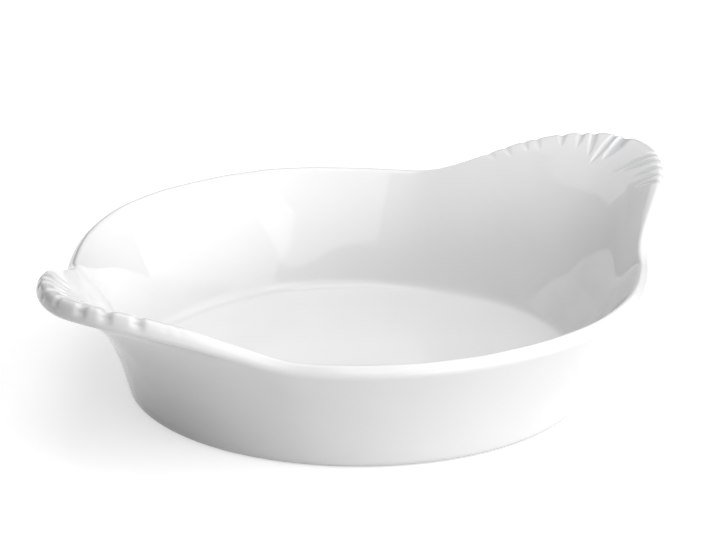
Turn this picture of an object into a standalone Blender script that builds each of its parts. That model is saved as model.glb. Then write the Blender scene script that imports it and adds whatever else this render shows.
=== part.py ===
"""Round porcelain egg dish with two upswept ears, fluted like a shell. Metres, +Z up.

The dish stands on the plane z = 0 with its middle on the Z axis, and its two ears point along +X and -X.
It is one casting: foot ring, floor, flared wall, rounded lip and ears are a single fired body.
"""
import math

import bmesh
import bpy
import numpy as np

COLLECTION_NAME = "Egg dish"
BODY_NAME = "dish_body"

# Bowl, measured square to the ears
RIM_RADIUS = 0.0750
RIM_HEIGHT = 0.0330
LIP_THICKNESS = 0.0038
LIP_OUTER_SQUARENESS = 2.5
LIP_INNER_SQUARENESS = 4.0
BASE_RADIUS = 0.0580
BASE_WALL_THICKNESS = 0.0036
LOW_WALL_HEIGHT = 0.0107
LOW_WALL_FLARE = 0.0027
HIGH_WALL_HEIGHT = 0.0100
HIGH_WALL_FLARE = 0.0095

# Floor and foot
FLOOR_TOP_HEIGHT = 0.0050
FLOOR_FILLET = 0.0026
HEEL_ROUND = 0.0018
FOOT_RING_WIDTH = 0.0036
FOOT_RECESS_DEPTH = 0.0012
FOOT_RECESS_SLOPE = 0.0006

# Ears, measured from the plain rim
EAR_REACH = 0.0195
EAR_RISE = 0.0117
EAR_EDGE_THICKNESS = 0.0048
EAR_KNEE_OUT = 0.0070
EAR_KNEE_UP = 0.0135
REACH_HALF_ANGLE = math.radians(35.0)
REACH_SHAPE = 0.9
RISE_HALF_ANGLE = math.radians(40.0)
RISE_SHAPE = 1.18
EDGE_HALF_ANGLE = math.radians(41.0)

# Waist, where the rim draws in a little on both sides of each ear
WAIST_IN = 0.0016
WAIST_DOWN = 0.0007
WAIST_ANGLE = math.radians(43.0)
WAIST_HALF_ANGLE = math.radians(33.0)

# Shell relief on the ears: the edge swells into ribs, and flutes fan out and cut between them.
# The flutes are listed for the ear at +X and for the ear at -X, each as it is seen when turned to +X. A flute
# has the place of its inner end, along and across the ear, its direction in degrees, its half width on its
# left and on its right as it runs outwards, its depth, and the angle round the lip, from its outer side and
# in degrees, at which it has died out.
RIB_HEIGHT = 0.0004
RIB_HALF_ANGLE = math.radians(27.0)
RIB_START = 0.86
FLUTE_GROWTH = 0.0050
FLUTE_NARROW_END = 0.3
FLUTE_FADE = math.radians(50.0)
FLUTES_AT_PLUS_X = (
    (0.0690, 0.0282, 84, 0.0014, 0.0018, 0.0003, 60),
    (0.0720, 0.0256, 77, 0.0014, 0.0018, 0.0004, 60),
    (0.0753, 0.0226, 69, 0.0014, 0.0018, 0.0004, 60),
    (0.0773, 0.0202, 63, 0.0014, 0.0018, 0.0004, 60),
    (0.0811, 0.0162, 46, 0.0016, 0.0022, 0.0006, 60),
    (0.0832, 0.0123, 36, 0.0014, 0.0020, 0.0006, 60),
    (0.0826, 0.0072, 40, 0.0012, 0.0020, 0.0006, 60),
    (0.0816, 0.0052, 11, 0.0012, 0.0022, 0.0007, 80),
    (0.0838, 0.0029, 13, 0.0012, 0.0042, 0.0009, 90),
    (0.0814, -0.0027, -39, 0.0012, 0.0021, 0.0008, 110),
    (0.0825, -0.0058, -49, 0.0012, 0.0020, 0.0007, 110),
    (0.0814, -0.0114, -42, 0.0012, 0.0021, 0.0008, 110),
    (0.0801, -0.0139, -53, 0.0012, 0.0020, 0.0007, 110),
    (0.0785, -0.0168, -57, 0.0012, 0.0020, 0.0008, 110),
)
FLUTES_AT_MINUS_X = (
    (0.0753, 0.0226, 69, 0.0014, 0.0018, 0.0002, 60),
    (0.0773, 0.0202, 63, 0.0014, 0.0018, 0.0002, 60),
    (0.0811, 0.0162, 46, 0.0026, 0.0026, 0.0007, 55),
    (0.0836, 0.0092, 36, 0.0026, 0.0026, 0.0007, 55),
    (0.0836, 0.0046, 18, 0.0024, 0.0024, 0.0007, 55),
    (0.0840, -0.0006, 0, 0.0016, 0.0016, 0.0005, 60),
    (0.0838, -0.0036, -22, 0.0014, 0.0014, 0.0005, 60),
    (0.0825, -0.0068, -42, 0.0014, 0.0018, 0.0005, 70),
    (0.0814, -0.0114, -46, 0.0014, 0.0018, 0.0005, 70),
    (0.0785, -0.0168, -57, 0.0014, 0.0018, 0.0005, 70),
)

# Fineness of the mesh
EAR_STEPS = 37
PLAIN_STEPS = 20
FINE_PER_COARSE = 3
EAR_SPAN_HALF_ANGLE = math.radians(26.0)
OUTER_WALL_STEPS = 5
LIP_TURNS = (0, 35, 55, 90, 125, 145, 180)
FLUTED_WALL_STEPS = 5
FLUTED_WALL_END = 0.80
INNER_WALL_STEPS = 6
CORNER_STEPS = 3
SMALL_STEP = 1e-4

CORNER_OUT = 2 ** (0.5 - 1 / LIP_OUTER_SQUARENESS)
CORNER_UP = 2 ** (0.5 - 1 / LIP_INNER_SQUARENESS)
LIP_CENTRE_RADIUS = RIM_RADIUS - CORNER_OUT * LIP_THICKNESS / 2
LIP_CENTRE_HEIGHT = RIM_HEIGHT - CORNER_UP * LIP_THICKNESS / 2
BASE_CENTRE_RADIUS = BASE_RADIUS - BASE_WALL_THICKNESS / 2

OUTSIDE = 1
INSIDE = -1


def clear_scene():
    for old in list(bpy.data.objects):
        bpy.data.objects.remove(old, do_unlink=True)


def section_angles(fineness):
    """Angles of the sections round the dish: close together at the two ears, wide apart elsewhere."""
    ear_end = EAR_SPAN_HALF_ANGLE
    ear = np.linspace(-ear_end, ear_end, EAR_STEPS * fineness, endpoint=False)
    plain = np.linspace(ear_end, math.pi - ear_end, PLAIN_STEPS * fineness, endpoint=False)
    half_turn = np.concatenate([ear, plain])
    return np.concatenate([half_turn, half_turn + math.pi])


def swell(offset, half_width, shape=1.0):
    """A smooth bump: one at offset zero, and zero from half_width outwards."""
    share = np.clip(np.abs(offset) / half_width, 0.0, 1.0)
    return np.cos(math.pi / 2 * share ** shape) ** 2


def furrow(sideways, width):
    """Depth across a flute, as a share: one at its middle line and zero at its sides, softly rounded."""
    share = np.clip(np.abs(sideways) / width, 0.0, 1.0)
    return 1.0 - share + 0.7 * np.sin(2 * math.pi * share) / (2 * math.pi)


def angle_from_ear(angle):
    """Angle from the middle line of the nearer ear, between zero and a right angle."""
    return np.abs((angle + math.pi / 2) % math.pi - math.pi / 2)


def edge_thickening(angle):
    return (EAR_EDGE_THICKNESS - LIP_THICKNESS) * swell(angle_from_ear(angle), EDGE_HALF_ANGLE)


def wall_controls(angle):
    """Four points (radius, height) that draw the wall's middle line at an angle: base, low, knee and edge."""
    off = angle_from_ear(angle)
    reach = swell(off, REACH_HALF_ANGLE, REACH_SHAPE)
    rise = swell(off, RISE_HALF_ANGLE, RISE_SHAPE)
    waist = swell(off - WAIST_ANGLE, WAIST_HALF_ANGLE)
    inset = edge_thickening(angle) / 2
    base = (BASE_CENTRE_RADIUS, 0.0)
    low = (BASE_CENTRE_RADIUS + LOW_WALL_FLARE, LOW_WALL_HEIGHT)
    knee = (
        LIP_CENTRE_RADIUS - HIGH_WALL_FLARE + EAR_KNEE_OUT * reach - WAIST_IN * waist,
        LIP_CENTRE_HEIGHT - HIGH_WALL_HEIGHT + EAR_KNEE_UP * rise - WAIST_DOWN * waist,
    )
    edge = (
        LIP_CENTRE_RADIUS + EAR_REACH * reach - CORNER_OUT * inset - WAIST_IN * waist,
        LIP_CENTRE_HEIGHT + EAR_RISE * rise - CORNER_UP * inset - WAIST_DOWN * waist,
    )
    return base, low, knee, edge


def middle(angle, place):
    """Points of the wall's middle surface: place runs from 0 at the ground to 1 at the lip's centre."""
    weights = ((1 - place) ** 3, 3 * place * (1 - place) ** 2, 3 * place ** 2 * (1 - place), place ** 3)
    controls = wall_controls(angle)
    radius = sum(weight * control[0] for weight, control in zip(weights, controls))
    height = sum(weight * control[1] for weight, control in zip(weights, controls))
    return np.stack([radius * np.cos(angle), radius * np.sin(angle), height], axis=-1)


def half_thickness(angle, place):
    plain = (1 - place) * BASE_WALL_THICKNESS + place * LIP_THICKNESS
    return (plain + edge_thickening(angle) * place ** 3) / 2


def unit(vectors):
    return vectors / np.linalg.norm(vectors, axis=-1, keepdims=True)


def surface_axes(angle, place):
    """Directions at points of the middle surface: out of the wall, and on towards the lip."""
    along = middle(angle + SMALL_STEP, place) - middle(angle - SMALL_STEP, place)
    up = middle(angle, place + SMALL_STEP) - middle(angle, place - SMALL_STEP)
    out = unit(np.cross(along, up))
    return out, unit(np.cross(out, along))


def shell_relief(points, rib_share, turn):
    """How far the shell relief stands out at points of the ears: the ribs' height less the flutes' depth.

    The turn is the angle round the lip from its outer side, and a half turn on the wall's inner face.
    """
    off = angle_from_ear(np.arctan2(points[:, 1], points[:, 0]))
    ribs = RIB_HEIGHT * swell(off, RIB_HALF_ANGLE, 3.0)
    flutes = np.zeros(len(points))
    for facing, ear in ((1, FLUTES_AT_PLUS_X), (-1, FLUTES_AT_MINUS_X)):
        x = points[:, 0] * facing
        y = points[:, 1] * facing
        for start_x, start_y, direction, left, right, depth, end_turn in ear:
            aim = math.radians(direction)
            ahead = (x - start_x) * math.cos(aim) + (y - start_y) * math.sin(aim)
            sideways = (y - start_y) * math.cos(aim) - (x - start_x) * math.sin(aim)
            size = np.sqrt(np.clip(ahead / FLUTE_GROWTH, 0.0, 1.0)) * (x > 0)
            width = np.where(sideways > 0, left, right) * np.maximum(size, FLUTE_NARROW_END)
            left_over = min(1.0, max(0.0, (turn - math.radians(end_turn)) / FLUTE_FADE))
            flutes = np.maximum(flutes, left_over * depth * size * furrow(sideways, width))
    return rib_share * ribs - flutes


def wall_ring(angles, place, side):
    """Ring of points on the wall's outer or inner face; place is one number or one for each angle."""
    place = np.broadcast_to(place, angles.shape)
    out, _ = surface_axes(angles, place)
    points = middle(angles, place) + side * half_thickness(angles, place)[:, None] * out
    if side == INSIDE:
        rib_share = np.clip((place - RIB_START) / (1 - RIB_START), 0.0, 1.0)
        points = points - shell_relief(points, rib_share, math.pi)[:, None] * out
    return points


def lip_ring(angles, turn):
    """Ring of points on the lip: turn is 0 at its outer side and a half turn at its inner side.

    The lip's section is a rounded square, nearly a circle on its outer side and squarer on its inner side.
    """
    place = np.ones_like(angles)
    out, on = surface_axes(angles, place)
    away = math.cos(turn) * out + math.sin(turn) * on
    power = LIP_OUTER_SQUARENESS if turn < math.pi / 2 else LIP_INNER_SQUARENESS
    bulge = (abs(math.cos(turn)) ** power + abs(math.sin(turn)) ** power) ** (-1 / power)
    points = middle(angles, place) + bulge * half_thickness(angles, place)[:, None] * away
    rib_share = min(1.0, turn / (math.pi / 2))
    return points + shell_relief(points, rib_share, turn)[:, None] * away


def flat_ring(angles, radius, height):
    radius = np.broadcast_to(radius, angles.shape)
    level = np.full_like(angles, height)
    return np.stack([radius * np.cos(angles), radius * np.sin(angles), level], axis=-1)


def place_at_height(angles, side, height):
    """Place on the wall at which its outer or inner face reaches a height, found by halving."""
    low = np.full_like(angles, -0.2)
    high = np.full_like(angles, 0.9)
    for _ in range(40):
        mid = (low + high) / 2
        out, _ = surface_axes(angles, mid)
        reached = middle(angles, mid) + side * half_thickness(angles, mid)[:, None] * out
        below = reached[:, 2] < height
        low = np.where(below, mid, low)
        high = np.where(below, high, mid)
    return (low + high) / 2


def rounded_corner(start, corner, end):
    """Rings that round off a corner, from just after the start ring to just before the end ring."""
    rings = []
    for step in range(1, CORNER_STEPS):
        t = step / CORNER_STEPS
        rings.append((1 - t) ** 2 * start + 2 * t * (1 - t) * corner + t ** 2 * end)
    return rings


def foot_rings(angles):
    """Underside: recess, flat ring that the dish stands on, and the rounded heel up to the outer wall."""
    heel_corner = wall_ring(angles, place_at_height(angles, OUTSIDE, 0.0), OUTSIDE)
    heel_top = wall_ring(angles, place_at_height(angles, OUTSIDE, HEEL_ROUND), OUTSIDE)
    ring_outer = np.hypot(heel_corner[:, 0], heel_corner[:, 1]) - HEEL_ROUND
    ring_inner = ring_outer - FOOT_RING_WIDTH
    stand = flat_ring(angles, ring_outer, 0.0)
    rings = [
        flat_ring(angles, ring_inner - FOOT_RECESS_SLOPE, FOOT_RECESS_DEPTH),
        flat_ring(angles, ring_inner, 0.0),
        stand,
    ]
    return rings + rounded_corner(stand, heel_corner, heel_top)


def outer_wall_rings(angles):
    start = place_at_height(angles, OUTSIDE, HEEL_ROUND)
    shares = np.linspace(0.0, 1.0, OUTER_WALL_STEPS, endpoint=False)
    return [wall_ring(angles, start + share * (1 - start), OUTSIDE) for share in shares]


def lip_rings(angles):
    return [lip_ring(angles, math.radians(turn)) for turn in LIP_TURNS]


def fluted_wall_rings(angles):
    places = np.linspace(1.0, FLUTED_WALL_END, FLUTED_WALL_STEPS + 1)[1:]
    return [wall_ring(angles, place, INSIDE) for place in places]


def inner_wall_rings(angles):
    start = place_at_height(angles, INSIDE, FLOOR_TOP_HEIGHT + FLOOR_FILLET)
    shares = np.linspace(1.0, 0.0, INNER_WALL_STEPS + 1)[1:]
    return [wall_ring(angles, start + share * (FLUTED_WALL_END - start), INSIDE) for share in shares]


def floor_rings(angles):
    corner = wall_ring(angles, place_at_height(angles, INSIDE, FLOOR_TOP_HEIGHT), INSIDE)
    wall_end = wall_ring(angles, place_at_height(angles, INSIDE, FLOOR_TOP_HEIGHT + FLOOR_FILLET), INSIDE)
    floor_radius = np.hypot(corner[:, 0], corner[:, 1]) - FLOOR_FILLET
    floor_edge = flat_ring(angles, floor_radius, FLOOR_TOP_HEIGHT)
    return rounded_corner(wall_end, corner, floor_edge) + [floor_edge]


def strip_faces(shape, below, above):
    """Faces between two rings of corners, one of which may have several corners for each one of the other."""
    fewer = min(len(below), len(above))
    low = len(below) // fewer
    high = len(above) // fewer
    for i in range(fewer):
        bottom = [below[(i * low + k) % len(below)] for k in range(low + 1)]
        top = [above[(i * high + k) % len(above)] for k in range(high + 1)]
        shape.faces.new(bottom + top[::-1])


def loft(rings):
    """Closed mesh through the rings: the dish's section changes all the way round, so it is lofted."""
    shape = bmesh.new()
    loops = [[shape.verts.new(point) for point in ring] for ring in rings]
    for below, above in zip(loops, loops[1:]):
        strip_faces(shape, below, above)
    caps = [shape.faces.new(loops[0][::-1]), shape.faces.new(loops[-1])]
    bmesh.ops.poke(shape, faces=caps)
    bmesh.ops.triangulate(shape, faces=[face for face in shape.faces if len(face.verts) > 4])
    bmesh.ops.recalc_face_normals(shape, faces=shape.faces)
    mesh = bpy.data.meshes.new(BODY_NAME)
    shape.to_mesh(mesh)
    shape.free()
    return mesh


def porcelain():
    material = bpy.data.materials.new("glazed_porcelain")
    material.use_nodes = True
    shader = material.node_tree.nodes["Principled BSDF"]
    shader.inputs["Base Color"].default_value = (0.86, 0.86, 0.85, 1.0)
    shader.inputs["Roughness"].default_value = 0.12
    shader.inputs["Metallic"].default_value = 0.0
    material.diffuse_color = (0.86, 0.86, 0.85, 1.0)
    return material


def build_dish(collection):
    coarse = section_angles(1)
    fine = section_angles(FINE_PER_COARSE)
    rings = foot_rings(coarse) + outer_wall_rings(coarse)
    rings += lip_rings(fine) + fluted_wall_rings(fine)
    rings += inner_wall_rings(coarse) + floor_rings(coarse)
    mesh = loft(rings)
    mesh.materials.append(porcelain())
    mesh.shade_smooth()
    mesh.set_sharp_from_angle(angle=math.radians(48))
    body = bpy.data.objects.new(BODY_NAME, mesh)
    collection.objects.link(body)
    return body


def main():
    clear_scene()
    collection = bpy.data.collections.new(COLLECTION_NAME)
    bpy.context.scene.collection.children.link(collection)
    build_dish(collection)


main()
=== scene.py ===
"""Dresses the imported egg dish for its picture: porcelain, a pale table, soft lamps and a camera.

Lengths are in metres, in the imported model's frame. The dish stands on z = 0, and its ears point
along +X and -X.
"""
import math

import bpy
import numpy as np
from mathutils import Matrix, Vector


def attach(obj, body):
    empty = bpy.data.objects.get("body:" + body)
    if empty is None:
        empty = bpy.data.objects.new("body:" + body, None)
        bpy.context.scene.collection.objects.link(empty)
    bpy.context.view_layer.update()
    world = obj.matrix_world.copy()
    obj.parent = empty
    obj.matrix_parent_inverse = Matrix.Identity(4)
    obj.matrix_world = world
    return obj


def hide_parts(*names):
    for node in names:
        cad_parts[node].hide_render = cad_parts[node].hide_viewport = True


bl_info = {
    "name": "Egg dish",
    "version": (1, 0, 0),
    "blender": (4, 5, 0),
    "location": "3D View > Sidebar > Egg dish",
    "description": "Makes a porcelain egg dish with two fluted ears, and the studio it stands in",
    "category": "Add Mesh",
}

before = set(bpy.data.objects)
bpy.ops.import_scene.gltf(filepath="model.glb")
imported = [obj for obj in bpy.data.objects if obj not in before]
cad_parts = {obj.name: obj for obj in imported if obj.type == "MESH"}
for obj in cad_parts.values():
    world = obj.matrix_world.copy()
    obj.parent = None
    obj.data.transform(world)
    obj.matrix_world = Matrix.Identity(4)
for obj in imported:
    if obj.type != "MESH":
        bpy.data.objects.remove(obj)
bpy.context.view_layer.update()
CAD_NODE = "dish_body"
BODY = "root"
# Mesh attribute with each point's share of the flute colour: pooled glaze and painted shade in the
# flutes
POOL_AND_SHADE_ATTRIBUTE = "glaze_pool"

# The wall's two faces, as the side of its middle surface that each is on
OUTSIDE = 1
INSIDE = -1

# The wall's directions are worked out over this small step: round the dish in radians, and up the
# wall as a share of it
SMALL_STEP = 1e-4

# The search for the place where the wall reaches a height
LOWEST_PLACE = -0.2
HIGHEST_PLACE = 0.9
HALVINGS = 40

# A flute's width at its inner end, as a share of its full width, and how softly its section is
# rounded: 0 is a sharp V and 1 a wave
FLUTE_NARROW_END = 0.3
FLUTE_ROUNDING = 0.7

# How far the ribs keep their full height along the ear's edge: 1 is a soft bump, higher is flatter
RIB_FULLNESS = 3.0

# The rounded corners of the underside, and the share of the recess's slope that is rounded into the
# foot ring, while the rest is rounded into the recess
RECESS_CORNER = 0.0012
FOOT_CORNER = 0.0004
SLOPE_SPLIT = 0.35

# Radius of the innermost ring of the floor and of the recess, as a share of the outermost one's
HUB_SHARE = 0.06

# The unevenness of casting and glazing grows from nothing at the table to its full size at this
# height, so that the foot stays flat
WOBBLE_FULL_HEIGHT = 0.003

# The unevenness along X, along Y and along Z is the sum of two waves each. A wave has a size, its
# number of crests over this length along X, Y and Z, and the angle in radians that it starts at.
WOBBLE_LENGTH = 0.041
WOBBLE_WAVES = (
    ((1.0, (0.0, 1.3, 0.7), 0.4), (0.6, (0.0, -1.7, 2.9), 2.0)),
    ((1.0, (1.1, 0.0, -0.9), 1.1), (0.6, (2.3, 0.0, 1.9), 0.3)),
    ((1.0, (0.9, 1.2, 0.0), 2.6), (0.5, (-2.4, 2.1, 0.0), 1.5)),
)

# The soft lamps: the direction that each shines from, the direction of its long side, its distance
# from the dish, and its size. Directions are as the camera sees them: right, back towards the
# camera, and up.
LAMPS = {
    "key": ((0.83, 0.09, 0.54), (-0.1, 1.0, 0.0), 0.85, (1.36, 0.95)),
    "front": ((0.24, 0.60, 0.765), (1.0, 0.0, 0.0), 1.4, (1.2, 1.2)),
    "low": ((0.60, 0.79, 0.09), (-0.79, 0.60, 0.0), 1.0, (1.0, 0.17)),
    "back": ((-0.34, -0.55, 0.76), (0.0, 0.84, 0.54), 1.0, (0.85, 0.61)),
    "top": ((0.0, 0.0, 1.0), (1.0, 0.0, 0.0), 1.0, (0.6, 0.6)),
}
TABLE_SIDES = 128

# The camera's sensor in millimetres, and how far the picture is shifted, in pixels of its width
SENSOR_WIDTH = 36.0
PICTURE_WIDTH = 709
SHIFT_RIGHT = -3.72
SHIFT_UP = -8.14

# Shell flutes of the ear at +X and of the ear at -X, each as its ear is seen when it is turned to
# +X. A flute has the place of its inner end, along and across the ear, its direction in degrees,
# its half width on its left and on its right as it runs outwards, its depth, and the angle round
# the lip, from its outer side and in degrees, at which it has died out.
FLUTES_AT_PLUS_X = (
    (0.0690, 0.0282, 84, 0.0014, 0.0018, 0.0002, 60),
    (0.0720, 0.0256, 77, 0.0014, 0.0018, 0.0003, 60),
    (0.0753, 0.0226, 69, 0.0014, 0.0018, 0.0003, 60),
    (0.0773, 0.0202, 63, 0.0014, 0.0018, 0.0003, 60),
    (0.0811, 0.0162, 46, 0.0016, 0.0022, 0.0005, 60),
    (0.0832, 0.0123, 36, 0.0014, 0.0020, 0.0005, 60),
    (0.0826, 0.0072, 40, 0.0009, 0.0020, 0.0005, 60),
    (0.0816, 0.0052, 11, 0.0007, 0.0022, 0.0005, 80),
    (0.0838, 0.0029, 13, 0.0007, 0.0042, 0.0008, 90),
    (0.0814, -0.0027, -39, 0.0005, 0.0021, 0.0006, 110),
    (0.0825, -0.0058, -49, 0.0005, 0.0020, 0.0005, 110),
    (0.0814, -0.0114, -42, 0.0005, 0.0021, 0.0006, 110),
    (0.0801, -0.0139, -53, 0.0005, 0.0020, 0.0005, 110),
    (0.0785, -0.0168, -57, 0.0005, 0.0020, 0.0006, 110),
)
FLUTES_AT_MINUS_X = (
    (0.0753, 0.0226, 69, 0.0014, 0.0018, 0.0001, 60),
    (0.0773, 0.0202, 63, 0.0014, 0.0018, 0.0001, 60),
    (0.0811, 0.0162, 46, 0.0026, 0.0026, 0.0007, 55),
    (0.0836, 0.0092, 36, 0.0026, 0.0026, 0.0007, 55),
    (0.0836, 0.0046, 18, 0.0024, 0.0024, 0.0007, 55),
    (0.0840, -0.0006, 0, 0.0016, 0.0016, 0.0005, 60),
    (0.0838, -0.0036, -22, 0.0014, 0.0014, 0.0005, 60),
    (0.0825, -0.0068, -42, 0.0010, 0.0018, 0.0005, 70),
    (0.0814, -0.0114, -46, 0.0010, 0.0018, 0.0004, 70),
    (0.0785, -0.0168, -57, 0.0010, 0.0018, 0.0004, 70),
)


def length(name, default, description):
    return bpy.props.FloatProperty(
        name=name, description=description, default=default,
        subtype="DISTANCE", unit="LENGTH", precision=5,
    )


def turn(name, degrees, description):
    return bpy.props.FloatProperty(
        name=name, description=description, default=math.radians(degrees),
        subtype="ANGLE", unit="ROTATION",
    )


def colour(name, default, description):
    return bpy.props.FloatVectorProperty(
        name=name, description=description, default=default,
        subtype="COLOR", size=3, min=0.0, max=1.0,
    )


def share(name, default, description):
    return bpy.props.FloatProperty(
        name=name, description=description, default=default, subtype="FACTOR", min=0.0, max=1.0
    )


def number(name, default, description):
    return bpy.props.FloatProperty(name=name, description=description, default=default, min=0.0)


def watts(name, default, description):
    return bpy.props.FloatProperty(
        name=name, description=description, default=default, unit="POWER", min=0.0
    )


def count(name, default, description):
    return bpy.props.IntProperty(name=name, description=description, default=default, min=2)


class EggDishSizes(bpy.types.PropertyGroup):
    """Sizes of the dish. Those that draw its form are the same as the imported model's."""

    rim_radius: length("Rim radius", 0.0750, "Radius over the plain rim, square to the ears")
    rim_height: length("Rim height", 0.0330, "Height of the plain rim above the table")
    lip_thickness: length("Lip thickness", 0.0038, "Thickness of the plain rounded lip")
    lip_outside: number("Lip outside", 2.5, "Squareness of the lip's outer half, round at 2")
    lip_inside: number("Lip inside", 4.0, "Squareness of the lip's inner half, round at 2")
    base_radius: length(
        "Base radius", 0.0580, "Radius of the outer wall where it would meet the table"
    )
    base_wall: length("Base wall", 0.0036, "Thickness of the wall at its foot")
    low_wall_height: length(
        "Low wall height", 0.0107, "Height over which the wall rises almost straight"
    )
    low_wall_flare: length("Low wall flare", 0.0027, "How far the low wall leans out")
    high_wall_height: length(
        "High wall height", 0.0100, "Height below the lip over which the wall flares"
    )
    high_wall_flare: length("High wall flare", 0.0095, "How far the high wall leans out to the lip")
    floor_height: length("Floor height", 0.0050, "Height of the floor's upper face above the table")
    floor_fillet: length(
        "Floor fillet", 0.0026, "Size of the rounded corner between floor and wall"
    )
    heel_round: length(
        "Heel round", 0.0018, "Size of the rounded corner at the foot of the outer wall"
    )
    foot_width: length("Foot width", 0.0036, "Width of the flat ring that the dish stands on")
    recess_depth: length("Recess depth", 0.0012, "Depth of the underside inside the foot ring")
    recess_slope: length(
        "Recess slope", 0.0006, "Width of the slope from the foot ring to the recess"
    )
    ear_reach: length("Ear reach", 0.0195, "How far the ears reach out past the plain rim")
    ear_rise: length("Ear rise", 0.0117, "How far the ears rise above the plain rim")
    ear_edge: length("Ear edge", 0.0048, "Thickness of the rounded edge at the tip of an ear")
    knee_out: length("Knee out", 0.0070, "How far the ear pushes out the wall's knee")
    knee_up: length("Knee up", 0.0135, "How far the ear lifts the wall's knee")
    reach_angle: turn("Reach angle", 35.0, "Half angle over which an ear reaches out")
    reach_shape: number("Reach shape", 0.9, "Fullness of the ear's outline seen from above")
    rise_angle: turn("Rise angle", 40.0, "Half angle over which an ear rises")
    rise_shape: number("Rise shape", 1.18, "Fullness of the ear's outline seen from the side")
    edge_angle: turn(
        "Edge angle", 41.0, "Half angle over which the ear's edge is thicker than the lip"
    )
    waist_in: length("Waist in", 0.0016, "How far the rim draws in on both sides of an ear")
    waist_down: length("Waist down", 0.0007, "How far the rim drops on both sides of an ear")
    waist_at: turn("Waist at", 43.0, "Angle from the ear to the middle of the waist")
    waist_angle: turn("Waist angle", 33.0, "Half angle of the waist")
    rib_height: length("Rib height", 0.0004, "How far the ribs of the shell stand out")
    rib_angle: turn("Rib angle", 27.0, "Half angle over which the shell's ribs run")
    rib_start: share(
        "Rib start", 0.86, "Place up the inner wall at which the ribs begin to stand out"
    )
    flute_growth: length(
        "Flute growth", 0.0050, "Length over which a flute grows to its full width and depth"
    )
    flute_fade: turn("Flute fade", 50.0, "Angle round the lip over which a flute dies out")
    # The flute colour, pooled glaze and painted shade, is full at this flute depth
    pool_and_shade_depth: length(
        "Pool and shade depth", 0.0007, "Depth of a flute at which the glaze in it is thickest"
    )
    hand_wobble: length(
        "Hand wobble", 0.00005, "Unevenness of the finished surface from casting and glazing"
    )


class EggDishFineness(bpy.types.PropertyGroup):
    """How finely the dish is meshed."""

    ear_steps: count("Ear steps", 90, "Coarse sections over the fluted part of each ear")
    plain_steps: count("Plain steps", 84, "Coarse sections over each plain stretch of the rim")
    per_ear_step: count(
        "Per ear step", 4, "Fine sections for each coarse one, on the lip and flutes of the ears"
    )
    ear_span: turn("Ear span", 30.0, "Half angle of the fluted part of each ear")
    wall_steps: count("Wall steps", 22, "Rings up the outer wall, and as many down the inner one")
    lip_steps: count("Lip steps", 30, "Rings round the lip")
    flute_steps: count("Flute steps", 46, "Rings over the fluted part of the inner wall")
    flute_end: share("Flute end", 0.79, "Place up the inner wall at which the fine rings begin")
    corner_steps: count("Corner steps", 8, "Rings round each small corner")
    floor_steps: count("Floor steps", 8, "Rings over the floor and over the recess")


class EggDishGlaze(bpy.types.PropertyGroup):
    """Colours, gloss and fine relief of the porcelain."""

    white: colour("White", (0.86, 0.862, 0.858), "Colour of the glazed porcelain")
    pooled: colour("Pooled", (0.80, 0.815, 0.82), "Colour where the glaze has run thick")
    # The flutes' colour: pooled glaze and painted shade in the flutes' hollows
    flutes: colour("Flutes", (0.735, 0.75, 0.765), "Colour at the bottom of the flutes")
    bare: colour("Bare", (0.70, 0.67, 0.62), "Colour of the unglazed foot")
    gloss: share("Gloss roughness", 0.045, "Roughness of the glaze")
    matt: share("Bare roughness", 0.78, "Roughness of the unglazed foot")
    smear: share("Smear", 0.02, "How much the glaze's roughness varies from place to place")
    cloudiness: share("Cloudiness", 0.12, "How much of the pooled colour drifts over the white")
    ripple: share("Ripple", 0.25, "Height of the glaze's ripple, as a share of the relief's depth")
    relief_depth: length("Relief depth", 0.00012, "Depth of the grain on the unglazed foot")
    relief_strength: share("Relief strength", 0.05, "How strongly ripple and grain turn the light")
    line_low: length("Line low", 0.00018, "Height above the table at which the glaze begins")
    line_high: length("Line high", 0.00034, "Height above the table at which the glaze is whole")
    line_wander: length(
        "Line wander", 0.00025, "How far the glaze's lower edge wanders up and down"
    )


class EggDishStudio(bpy.types.PropertyGroup):
    """The table, the lamps and the camera."""

    table_radius: length("Table radius", 3.0, "Radius of the table top")
    table_gap: length("Table gap", 0.0001, "Hairline between the table top and the foot")
    table_white: colour(
        "Table white", (0.66, 0.66, 0.66), "Colour of the table as the light finds it"
    )
    table_lift: number(
        "Table lift", 0.60, "Extra brightness of the table as it is seen or mirrored"
    )
    room: number("Room", 0.12, "Strength of the dim light from all sides")
    key_power: watts("Key power", 5.7, "Power of the large soft lamp at the right")
    back_power: watts("Back power", 1.2, "Power of the soft lamp high behind the dish")
    top_power: watts("Top power", 2.7, "Power of the soft lamp overhead")
    front_power: watts("Front power", 6.0, "Power of the large soft lamp over the camera")
    low_power: watts("Low power", 3.8, "Power of the low soft lamp right of the camera")
    camera_turn: turn("Camera turn", -38.87, "Turn of the camera round the dish, from -Y")
    camera_rise: turn("Camera rise", 20.29, "Height of the camera above the table, as an angle")
    camera_away: length("Camera away", 1.652, "Distance from the camera to the middle of the rim")
    aim_height: length("Aim height", 0.0330, "Height of the point that the camera looks at")
    lens: bpy.props.FloatProperty(
        name="Lens", description="Focal length", default=332.6, unit="CAMERA"
    )


def swell(offset, half_width, shape=1.0):
    """A smooth bump: one at offset zero, and zero from half_width outwards."""
    part = np.clip(np.abs(offset) / half_width, 0.0, 1.0)
    return np.cos(math.pi / 2 * part ** shape) ** 2


def furrow(sideways, width):
    """Share of a flute's depth: one at its middle line, and softly down to zero at its sides."""
    part = np.clip(np.abs(sideways) / width, 0.0, 1.0)
    return 1.0 - part + FLUTE_ROUNDING * np.sin(2 * math.pi * part) / (2 * math.pi)


def angle_from_ear(angle):
    """Angle from the middle line of the nearer ear, between zero and a right angle."""
    return np.abs((angle + math.pi / 2) % math.pi - math.pi / 2)


def unit(vectors):
    return vectors / np.linalg.norm(vectors, axis=-1, keepdims=True)


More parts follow.
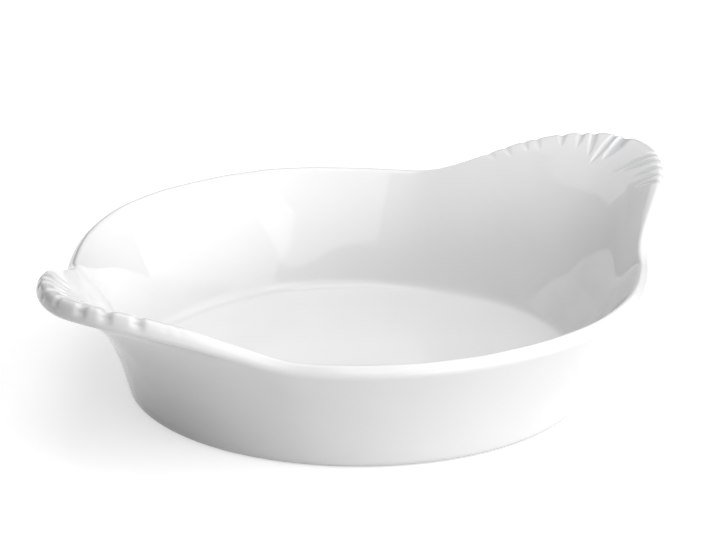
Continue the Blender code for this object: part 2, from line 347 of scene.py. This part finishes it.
class DishForm:
    """The dish's surface as rings of points, worked out from its sizes."""

    def __init__(self, sizes):
        self.s = sizes
        # The wall leans out at the lip, so the corners of the lip's section are its outermost and
        # its highest point. This is how far they are from its centre, in halves of its thickness.
        self.corner_out = 2 ** (0.5 - 1 / sizes.lip_outside)
        self.corner_up = 2 ** (0.5 - 1 / sizes.lip_inside)
        self.lip_radius = sizes.rim_radius - self.corner_out * sizes.lip_thickness / 2
        self.lip_height = sizes.rim_height - self.corner_up * sizes.lip_thickness / 2
        self.foot_radius = sizes.base_radius - sizes.base_wall / 2

    def edge_thickening(self, angle):
        s = self.s
        return (s.ear_edge - s.lip_thickness) * swell(angle_from_ear(angle), s.edge_angle)

    def controls(self, angle):
        """Radius and height of the four points that draw the wall: base, low, knee and edge."""
        s = self.s
        off = angle_from_ear(angle)
        reach = swell(off, s.reach_angle, s.reach_shape)
        rise = swell(off, s.rise_angle, s.rise_shape)
        waist = swell(off - s.waist_at, s.waist_angle)
        inset = self.edge_thickening(angle) / 2
        base = (self.foot_radius, 0.0)
        low = (self.foot_radius + s.low_wall_flare, s.low_wall_height)
        knee = (
            self.lip_radius - s.high_wall_flare + s.knee_out * reach - s.waist_in * waist,
            self.lip_height - s.high_wall_height + s.knee_up * rise - s.waist_down * waist,
        )
        edge = (
            self.lip_radius + s.ear_reach * reach - self.corner_out * inset - s.waist_in * waist,
            self.lip_height + s.ear_rise * rise - self.corner_up * inset - s.waist_down * waist,
        )
        return base, low, knee, edge

    def middle(self, angle, place):
        """Points midway in the wall: place runs from 0 at the table to 1 at the lip's centre."""
        rest = 1 - place
        weights = (rest ** 3, 3 * place * rest ** 2, 3 * place ** 2 * rest, place ** 3)
        controls = self.controls(angle)
        radius = sum(weight * control[0] for weight, control in zip(weights, controls))
        height = sum(weight * control[1] for weight, control in zip(weights, controls))
        return np.stack([radius * np.cos(angle), radius * np.sin(angle), height], axis=-1)

    def half_thickness(self, angle, place):
        s = self.s
        plain = (1 - place) * s.base_wall + place * s.lip_thickness
        return (plain + self.edge_thickening(angle) * place ** 3) / 2

    def axes(self, angle, place):
        """Directions at points midway in the wall: out of it, and on towards the lip."""
        along = self.middle(angle + SMALL_STEP, place) - self.middle(angle - SMALL_STEP, place)
        up = self.middle(angle, place + SMALL_STEP) - self.middle(angle, place - SMALL_STEP)
        out = unit(np.cross(along, up))
        return out, unit(np.cross(out, along))

    def off_middle(self, angles, place, direction, part):
        """Points off the wall's middle in a direction, by a part of half its thickness."""
        half = self.half_thickness(angles, place)[:, None]
        return self.middle(angles, place) + part * half * direction

    def flute_depth(self, points, roll):
        """Depth of the flutes: roll is the angle round the lip, a half turn on the inner wall."""
        s = self.s
        flutes = np.zeros(len(points))
        for facing, ear in ((1, FLUTES_AT_PLUS_X), (-1, FLUTES_AT_MINUS_X)):
            x = points[:, 0] * facing
            y = points[:, 1] * facing
            for start_x, start_y, direction, left, right, depth, end_roll in ear:
                aim = math.radians(direction)
                ahead = (x - start_x) * math.cos(aim) + (y - start_y) * math.sin(aim)
                sideways = (y - start_y) * math.cos(aim) - (x - start_x) * math.sin(aim)
                size = np.sqrt(np.clip(ahead / s.flute_growth, 0.0, 1.0)) * (x > 0)
                width = np.where(sideways > 0, left, right) * np.maximum(size, FLUTE_NARROW_END)
                left_over = min(1.0, max(0.0, (roll - math.radians(end_roll)) / s.flute_fade))
                flutes = np.maximum(flutes, left_over * depth * size * furrow(sideways, width))
        return flutes

    def shell_relief(self, points, rib_share, roll):
        """How far the shell stands out: the ribs' height less the flutes' depth."""
        off = angle_from_ear(np.arctan2(points[:, 1], points[:, 0]))
        ribs = self.s.rib_height * swell(off, self.s.rib_angle, RIB_FULLNESS)
        return rib_share * ribs - self.flute_depth(points, roll)

    def wall_ring(self, angles, place, side):
        """Ring on the wall's outer or inner face; place is one number or one for each angle."""
        s = self.s
        place = np.broadcast_to(place, angles.shape)
        out, _ = self.axes(angles, place)
        points = self.off_middle(angles, place, out, side)
        if side == INSIDE:
            rib_share = np.clip((place - s.rib_start) / (1 - s.rib_start), 0.0, 1.0)
            points = points - self.shell_relief(points, rib_share, math.pi)[:, None] * out
        return points

    def lip_ring(self, angles, roll):
        """Ring on the lip: roll is 0 at its outer side and a half turn at its inner side."""
        place = np.ones_like(angles)
        out, on = self.axes(angles, place)
        away = math.cos(roll) * out + math.sin(roll) * on
        power = self.s.lip_outside if roll < math.pi / 2 else self.s.lip_inside
        bulge = (abs(math.cos(roll)) ** power + abs(math.sin(roll)) ** power) ** (-1 / power)
        points = self.off_middle(angles, place, away, bulge)
        rib_share = min(1.0, roll / (math.pi / 2))
        return points + self.shell_relief(points, rib_share, roll)[:, None] * away

    def place_at_height(self, angles, side, height):
        """Place at which the wall's outer or inner face reaches a height, found by halving."""
        low = np.full_like(angles, LOWEST_PLACE)
        high = np.full_like(angles, HIGHEST_PLACE)
        for _ in range(HALVINGS):
            mid = (low + high) / 2
            out, _ = self.axes(angles, mid)
            below = self.off_middle(angles, mid, out, side)[:, 2] < height
            low = np.where(below, mid, low)
            high = np.where(below, high, mid)
        return (low + high) / 2

    def ring_at_height(self, angles, side, height):
        """Level ring on the wall's outer or inner face."""
        return self.wall_ring(angles, self.place_at_height(angles, side, height), side)


def flat_ring(angles, radius, height):
    radius = np.broadcast_to(radius, angles.shape)
    level = np.full_like(angles, height)
    return np.stack([radius * np.cos(angles), radius * np.sin(angles), level], axis=-1)


def drawn_in(ring, part):
    """A level ring drawn in towards the middle, to a part of its radius."""
    return ring * np.array([part, part, 1.0])


def rounded_corner(start, corner, end, steps):
    """Rings that round off a corner, after the start ring and before the end ring."""
    shares = [step / steps for step in range(1, steps)]
    return [(1 - t) ** 2 * start + 2 * t * (1 - t) * corner + t ** 2 * end for t in shares]


def radius_of(ring):
    return np.hypot(ring[:, 0], ring[:, 1])


def section_angles(fineness, per_ear_step):
    """Angles of the sections round the dish: close together at the ears, wider apart elsewhere."""
    end = fineness.ear_span
    ear = np.linspace(-end, end, fineness.ear_steps * per_ear_step, endpoint=False)
    plain = np.linspace(end, math.pi - end, fineness.plain_steps, endpoint=False)
    half_turn = np.concatenate([ear, plain])
    return np.concatenate([half_turn, half_turn + math.pi])


def section_starts(fineness, per_ear_step):
    """Number of each section's first point in a ring, and last the number of points in it."""
    half_turn = [per_ear_step] * fineness.ear_steps + [1] * fineness.plain_steps
    return np.cumsum([0] + half_turn * 2).tolist()


def underside_rings(form, fineness, angles):
    """Recess, the bare ring that the dish stands on, and the rounded heel up to the outer wall."""
    s = form.s
    heel_corner = form.ring_at_height(angles, OUTSIDE, 0.0)
    heel_top = form.ring_at_height(angles, OUTSIDE, s.heel_round)
    outer = radius_of(heel_corner) - s.heel_round
    inner = outer - s.foot_width
    recess_edge = flat_ring(angles, inner - s.recess_slope - RECESS_CORNER, s.recess_depth)
    recess_corner = flat_ring(angles, inner - s.recess_slope, s.recess_depth)
    split_radius = inner - SLOPE_SPLIT * s.recess_slope
    slope_end = flat_ring(angles, split_radius, SLOPE_SPLIT * s.recess_depth)
    ring_corner = flat_ring(angles, inner, 0.0)
    ring_in = flat_ring(angles, inner + FOOT_CORNER, 0.0)
    ring_out = flat_ring(angles, outer, 0.0)
    hub_out = np.linspace(HUB_SHARE, 1.0, fineness.floor_steps)
    rings = [drawn_in(recess_edge, part) for part in hub_out]
    rings += rounded_corner(recess_edge, recess_corner, slope_end, fineness.corner_steps)
    rings += [slope_end] + rounded_corner(slope_end, ring_corner, ring_in, fineness.corner_steps)
    rings += [ring_in, (ring_in + ring_out) / 2, ring_out]
    rings += rounded_corner(ring_out, heel_corner, heel_top, fineness.corner_steps * 2)
    return rings


def outer_wall_rings(form, fineness, angles):
    start = form.place_at_height(angles, OUTSIDE, form.s.heel_round)
    shares = np.linspace(0.0, 1.0, fineness.wall_steps, endpoint=False)
    return [form.wall_ring(angles, start + part * (1 - start), OUTSIDE) for part in shares]


def fluted_wall_rings(form, fineness, angles):
    places = np.linspace(1.0, fineness.flute_end, fineness.flute_steps + 1)[1:]
    return [form.wall_ring(angles, place, INSIDE) for place in places]


def inner_wall_rings(form, fineness, angles):
    s = form.s
    start = form.place_at_height(angles, INSIDE, s.floor_height + s.floor_fillet)
    shares = np.linspace(1.0, 0.0, fineness.wall_steps + 1)[1:]
    places = [start + part * (fineness.flute_end - start) for part in shares]
    return [form.wall_ring(angles, place, INSIDE) for place in places]


def floor_rings(form, fineness, angles):
    s = form.s
    corner = form.ring_at_height(angles, INSIDE, s.floor_height)
    wall_end = form.ring_at_height(angles, INSIDE, s.floor_height + s.floor_fillet)
    edge = flat_ring(angles, radius_of(corner) - s.floor_fillet, s.floor_height)
    hub_in = np.linspace(1.0, HUB_SHARE, fineness.floor_steps)
    rings = rounded_corner(wall_end, corner, edge, fineness.corner_steps)
    return rings + [drawn_in(edge, part) for part in hub_in]


def loft_faces(rings, starts_of):
    """Faces between the rings: quads, and one wider face where a coarse section meets fine ones."""
    faces = []
    first = 0
    for below, above in zip(rings, rings[1:]):
        low_starts = starts_of[len(below)]
        high_starts = starts_of[len(above)]
        above_first = first + len(below)
        for section in range(len(low_starts) - 1):
            low = range(low_starts[section], low_starts[section + 1] + 1)
            high = range(high_starts[section], high_starts[section + 1] + 1)
            bottom = [first + point % len(below) for point in low]
            top = [above_first + point % len(above) for point in high]
            if len(bottom) == len(top):
                faces += [(*bottom[k:k + 2], *top[k:k + 2][::-1]) for k in range(len(bottom) - 1)]
            else:
                faces.append(bottom + top[::-1])
        first = above_first
    ends = [list(range(len(rings[0])))[::-1], list(range(first, first + len(rings[-1])))]
    return faces + ends


def hand_wobble(points, height):
    """A slow, shallow unevenness along each direction, as casting and glazing leave it."""
    turns = points * 2 * math.pi / WOBBLE_LENGTH
    moves = [
        sum(size * np.sin(turns @ np.array(crests) + start) for size, crests, start in waves)
        for waves in WOBBLE_WAVES
    ]
    growth = np.clip(points[:, 2:] / WOBBLE_FULL_HEIGHT, 0.0, 1.0)
    return points + height * np.stack(moves, axis=-1) * growth


def dish_mesh(sizes, fineness):
    form = DishForm(sizes)
    coarse = section_angles(fineness, 1)
    fine = section_angles(fineness, fineness.per_ear_step)
    starts_of = {
        len(coarse): section_starts(fineness, 1),
        len(fine): section_starts(fineness, fineness.per_ear_step),
    }
    outside = underside_rings(form, fineness, coarse) + outer_wall_rings(form, fineness, coarse)
    rolls = np.linspace(0.0, math.pi, fineness.lip_steps + 1)
    lip = [form.lip_ring(fine, roll) for roll in rolls]
    fluted = fluted_wall_rings(form, fineness, fine)
    inside = inner_wall_rings(form, fineness, coarse) + floor_rings(form, fineness, coarse)
    rings = outside + lip + fluted + inside
    # Each point's share of the flute colour, darker pooled glaze and painted shade: by flute depth
    # on the fluted wall, fading out towards the lip's outer side, and none elsewhere
    pool_and_shade_shares = [np.zeros(len(ring)) for ring in outside]
    pool_and_shade_shares += [form.flute_depth(ring, roll) * roll / math.pi for ring, roll in zip(lip, rolls)]
    pool_and_shade_shares += [form.flute_depth(ring, math.pi) for ring in fluted]
    pool_and_shade_shares += [np.zeros(len(ring)) for ring in inside]
    points = hand_wobble(np.concatenate(rings), sizes.hand_wobble)
    mesh = bpy.data.meshes.new("dish_porcelain")
    mesh.from_pydata(points.tolist(), [], loft_faces(rings, starts_of))
    pooled = mesh.attributes.new(POOL_AND_SHADE_ATTRIBUTE, "FLOAT", "POINT")
    pooled.data.foreach_set("value", np.clip(np.concatenate(pool_and_shade_shares) / sizes.pool_and_shade_depth, 0.0, 1.0))
    mesh.shade_smooth()
    return mesh


class Wire:
    """A socket that carries a value, with Python's arithmetic on it."""

    def __init__(self, recipe, socket):
        self.recipe = recipe
        self.socket = socket

    def _sum(self, operation, first, second):
        return self.recipe.node("ShaderNodeMath", {"operation": operation}, {0: first, 1: second})

    def __add__(self, other):
        return self._sum("ADD", self, other)

    def __radd__(self, other):
        return self._sum("ADD", other, self)

    def __sub__(self, other):
        return self._sum("SUBTRACT", self, other)

    def __rsub__(self, other):
        return self._sum("SUBTRACT", other, self)

    def __mul__(self, other):
        return self._sum("MULTIPLY", self, other)

    def __rmul__(self, other):
        return self._sum("MULTIPLY", other, self)


class Recipe:
    """Builds a material or world from nodes."""

    def __init__(self, owner):
        owner.use_nodes = True
        self.tree = owner.node_tree
        self.tree.nodes.clear()

    def make(self, kind, settings=None, inputs=None):
        """A node of a type, with its settings made first and then its sockets set or linked."""
        node = self.tree.nodes.new(kind)
        for name, value in (settings or {}).items():
            setattr(node, name, value)
        for name, value in (inputs or {}).items():
            socket = node.inputs[name]
            if isinstance(value, Wire):
                self.tree.links.new(value.socket, socket)
            else:
                socket.default_value = value
        return node

    def node(self, kind, settings=None, inputs=None, output=0):
        return Wire(self, self.make(kind, settings, inputs).outputs[output])

    def mix(self, factor, first, second):
        """Mixes two colours."""
        colours = {"data_type": "RGBA", "clamp_factor": True}
        return self.node("ShaderNodeMix", colours, {0: factor, 6: first, 7: second}, 2)

    def fade(self, value, start, end):
        """Runs smoothly from 0 where value is start to 1 where it is end."""
        settings = {"interpolation_type": "SMOOTHSTEP", "clamp": True}
        inputs = {0: value, 1: start, 2: end, 3: 0.0, 4: 1.0}
        return self.node("ShaderNodeMapRange", settings, inputs)

    def noise(self, place, scale, detail, roughness):
        inputs = {"Vector": place, "Scale": scale, "Detail": detail, "Roughness": roughness}
        return self.node("ShaderNodeTexNoise", {"noise_dimensions": "3D"}, inputs)


def rgba(value):
    return (value[0], value[1], value[2], 1.0)


def porcelain_material(glaze):
    """White porcelain under a clear gloss glaze, left bare on the face that the dish stands on."""
    material = bpy.data.materials.new("glazed_porcelain_white")
    recipe = Recipe(material)
    place = recipe.node("ShaderNodeTexCoord", output="Object")
    height = recipe.node("ShaderNodeSeparateXYZ", {}, {0: place}, "Z")
    wander = (recipe.noise(place, scale=700.0, detail=3.0, roughness=0.6) - 0.5) * glaze.line_wander
    glazed = recipe.fade(height + wander, glaze.line_low, glaze.line_high)
    bare = 1.0 - glazed
    clouds = recipe.noise(place, scale=38.0, detail=3.0, roughness=0.5)
    clouds = recipe.fade(clouds, start=0.35, end=0.75)
    drift = recipe.mix(clouds, rgba(glaze.white), rgba(glaze.pooled))
    tint = recipe.mix(glaze.cloudiness, rgba(glaze.white), drift)
    # Darker in the flutes: pooled glaze and painted shade
    flute_pool_and_shade = recipe.node("ShaderNodeAttribute", {"attribute_name": POOL_AND_SHADE_ATTRIBUTE}, output="Fac")
    tint = recipe.mix(flute_pool_and_shade, tint, rgba(glaze.flutes))
    base = recipe.mix(bare, tint, rgba(glaze.bare))
    ripple = recipe.noise(place, scale=160.0, detail=2.0, roughness=0.45) * glaze.ripple
    grain = recipe.noise(place, scale=5200.0, detail=4.0, roughness=0.7)
    bump = {
        "Strength": glaze.relief_strength,
        "Distance": glaze.relief_depth,
        "Height": ripple * glazed + grain * bare,
    }
    smear = (recipe.noise(place, scale=90.0, detail=4.0, roughness=0.6) - 0.5) * glaze.smear
    finish = {
        "Base Color": base,
        "Roughness": bare * glaze.matt + glazed * (smear + glaze.gloss),
        "Normal": recipe.node("ShaderNodeBump", {}, bump),
        "IOR": 1.5,
        "Specular IOR Level": 0.5,
    }
    shader = recipe.make("ShaderNodeBsdfPrincipled", {}, finish)
    output = recipe.make("ShaderNodeOutputMaterial")
    recipe.tree.links.new(shader.outputs[0], output.inputs[0])
    return material


def table_material(studio):
    """A pale matt table, brighter as it is seen or mirrored, so that it falls away to white."""
    material = bpy.data.materials.new("pale_table")
    recipe = Recipe(material)
    rays = recipe.make("ShaderNodeLightPath").outputs
    seen = Wire(recipe, rays["Is Camera Ray"]) + Wire(recipe, rays["Is Glossy Ray"])
    seen = seen + Wire(recipe, rays["Is Transmission Ray"])
    paint = {"Color": rgba(studio.table_white), "Roughness": 0.0}
    matt = recipe.make("ShaderNodeBsdfDiffuse", {}, paint)
    glow = recipe.make("ShaderNodeEmission", {}, {"Strength": seen * studio.table_lift})
    both = recipe.make("ShaderNodeAddShader")
    recipe.tree.links.new(matt.outputs[0], both.inputs[0])
    recipe.tree.links.new(glow.outputs[0], both.inputs[1])
    output = recipe.make("ShaderNodeOutputMaterial")
    recipe.tree.links.new(both.outputs[0], output.inputs[0])
    return material


def dim_room(studio):
    """The world: an even, dim grey room, so that the glaze mirrors mainly lamps and dish."""
    world = bpy.data.worlds.new("dim_room")
    recipe = Recipe(world)
    even = {"Color": (1.0, 1.0, 1.0, 1.0), "Strength": studio.room}
    walls = recipe.make("ShaderNodeBackground", {}, even)
    output = recipe.make("ShaderNodeOutputWorld")
    recipe.tree.links.new(walls.outputs[0], output.inputs[0])
    return world


def camera_axes(studio):
    """Directions as the camera sees them along the table: to its right, and back towards it."""
    right = Vector((math.cos(studio.camera_turn), math.sin(studio.camera_turn), 0.0))
    back = Vector((math.sin(studio.camera_turn), -math.cos(studio.camera_turn), 0.0))
    return right, back


def soft_lamp(name, studio, toward, along, distance, size, power):
    """A soft lamp facing the dish from a direction, with its long side along another.

    Both directions are given as the camera sees them: to the right, back to the camera, and up.
    """
    right, back = camera_axes(studio)
    facing = (right * toward[0] + back * toward[1] + Vector((0.0, 0.0, toward[2]))).normalized()
    side = right * along[0] + back * along[1] + Vector((0.0, 0.0, along[2]))
    side = (side - facing * side.dot(facing)).normalized()
    data = bpy.data.lights.new(name, "AREA")
    data.shape = "RECTANGLE"
    data.size = size[0]
    data.size_y = size[1]
    data.energy = power
    lamp = bpy.data.objects.new(name, data)
    lamp.location = Vector((0.0, 0.0, studio.aim_height)) + facing * distance
    lamp.rotation_euler = Matrix((side, facing.cross(side), facing)).transposed().to_euler()
    bpy.context.scene.collection.objects.link(lamp)


class EGGDISH_OT_dish(bpy.types.Operator):
    """Make the fluted porcelain dish"""

    bl_idname = "eggdish.make_dish"
    bl_label = "Make dish"

    def execute(self, context):
        mesh = dish_mesh(context.scene.egg_dish_sizes, context.scene.egg_dish_fineness)
        mesh.materials.append(porcelain_material(context.scene.egg_dish_glaze))
        dish = bpy.data.objects.new("porcelain_dish", mesh)
        context.scene.collection.objects.link(dish)
        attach(dish, BODY)
        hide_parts(CAD_NODE)
        return {"FINISHED"}


class EGGDISH_OT_stage(bpy.types.Operator):
    """Set the table, the lamps and the camera"""

    bl_idname = "eggdish.set_stage"
    bl_label = "Set stage"

    def execute(self, context):
        studio = context.scene.egg_dish_studio
        self.lay_table(context, studio)
        context.scene.world = dim_room(studio)
        for name, (toward, along, distance, size) in LAMPS.items():
            power = getattr(studio, name + "_power")
            soft_lamp(name + "_lamp", studio, toward, along, distance, size, power)
        self.place_camera(context, studio)
        context.scene.view_settings.view_transform = "Standard"
        return {"FINISHED"}

    def lay_table(self, context, studio):
        under_foot = (0.0, 0.0, -studio.table_gap)
        bpy.ops.mesh.primitive_circle_add(
            vertices=TABLE_SIDES,
            radius=studio.table_radius,
            fill_type="NGON",
            location=under_foot,
        )
        table = context.object
        table.name = "table_top"
        table.data.materials.append(table_material(studio))

    def place_camera(self, context, studio):
        flat = math.cos(studio.camera_rise)
        _, back = camera_axes(studio)
        direction = back * flat + Vector((0.0, 0.0, math.sin(studio.camera_rise)))
        data = bpy.data.cameras.new("studio_camera")
        data.lens = studio.lens
        data.sensor_width = SENSOR_WIDTH
        data.shift_x = SHIFT_RIGHT / PICTURE_WIDTH
        data.shift_y = SHIFT_UP / PICTURE_WIDTH
        camera = bpy.data.objects.new("studio_camera", data)
        camera.location = Vector((0.0, 0.0, studio.aim_height)) + direction * studio.camera_away
        camera.rotation_euler = direction.to_track_quat("Z", "Y").to_euler()
        context.scene.collection.objects.link(camera)
        context.scene.camera = camera


class EGGDISH_PT_panel(bpy.types.Panel):
    """Lists the operators, and the sizes, colours and powers that they use"""

    bl_label = "Egg dish"
    bl_idname = "EGGDISH_PT_panel"
    bl_space_type = "VIEW_3D"
    bl_region_type = "UI"
    bl_category = "Egg dish"

    def draw(self, context):
        self.layout.operator(EGGDISH_OT_dish.bl_idname)
        self.layout.operator(EGGDISH_OT_stage.bl_idname)
        scene = context.scene
        groups = (
            scene.egg_dish_sizes,
            scene.egg_dish_fineness,
            scene.egg_dish_glaze,
            scene.egg_dish_studio,
        )
        for values in groups:
            column = self.layout.column(align=True)
            for name in values.__annotations__:
                column.prop(values, name)


CLASSES = (
    EggDishSizes,
    EggDishFineness,
    EggDishGlaze,
    EggDishStudio,
    EGGDISH_OT_dish,
    EGGDISH_OT_stage,
    EGGDISH_PT_panel,
)


def register():
    for made in CLASSES:
        bpy.utils.register_class(made)
    bpy.types.Scene.egg_dish_sizes = bpy.props.PointerProperty(type=EggDishSizes)
    bpy.types.Scene.egg_dish_fineness = bpy.props.PointerProperty(type=EggDishFineness)
    bpy.types.Scene.egg_dish_glaze = bpy.props.PointerProperty(type=EggDishGlaze)
    bpy.types.Scene.egg_dish_studio = bpy.props.PointerProperty(type=EggDishStudio)


def unregister():
    del bpy.types.Scene.egg_dish_studio
    del bpy.types.Scene.egg_dish_glaze
    del bpy.types.Scene.egg_dish_fineness
    del bpy.types.Scene.egg_dish_sizes
    for made in reversed(CLASSES):
        bpy.utils.unregister_class(made)


def main():
    register()
    bpy.ops.eggdish.make_dish()
    bpy.ops.eggdish.set_stage()


if __name__ == "__main__":
    main()
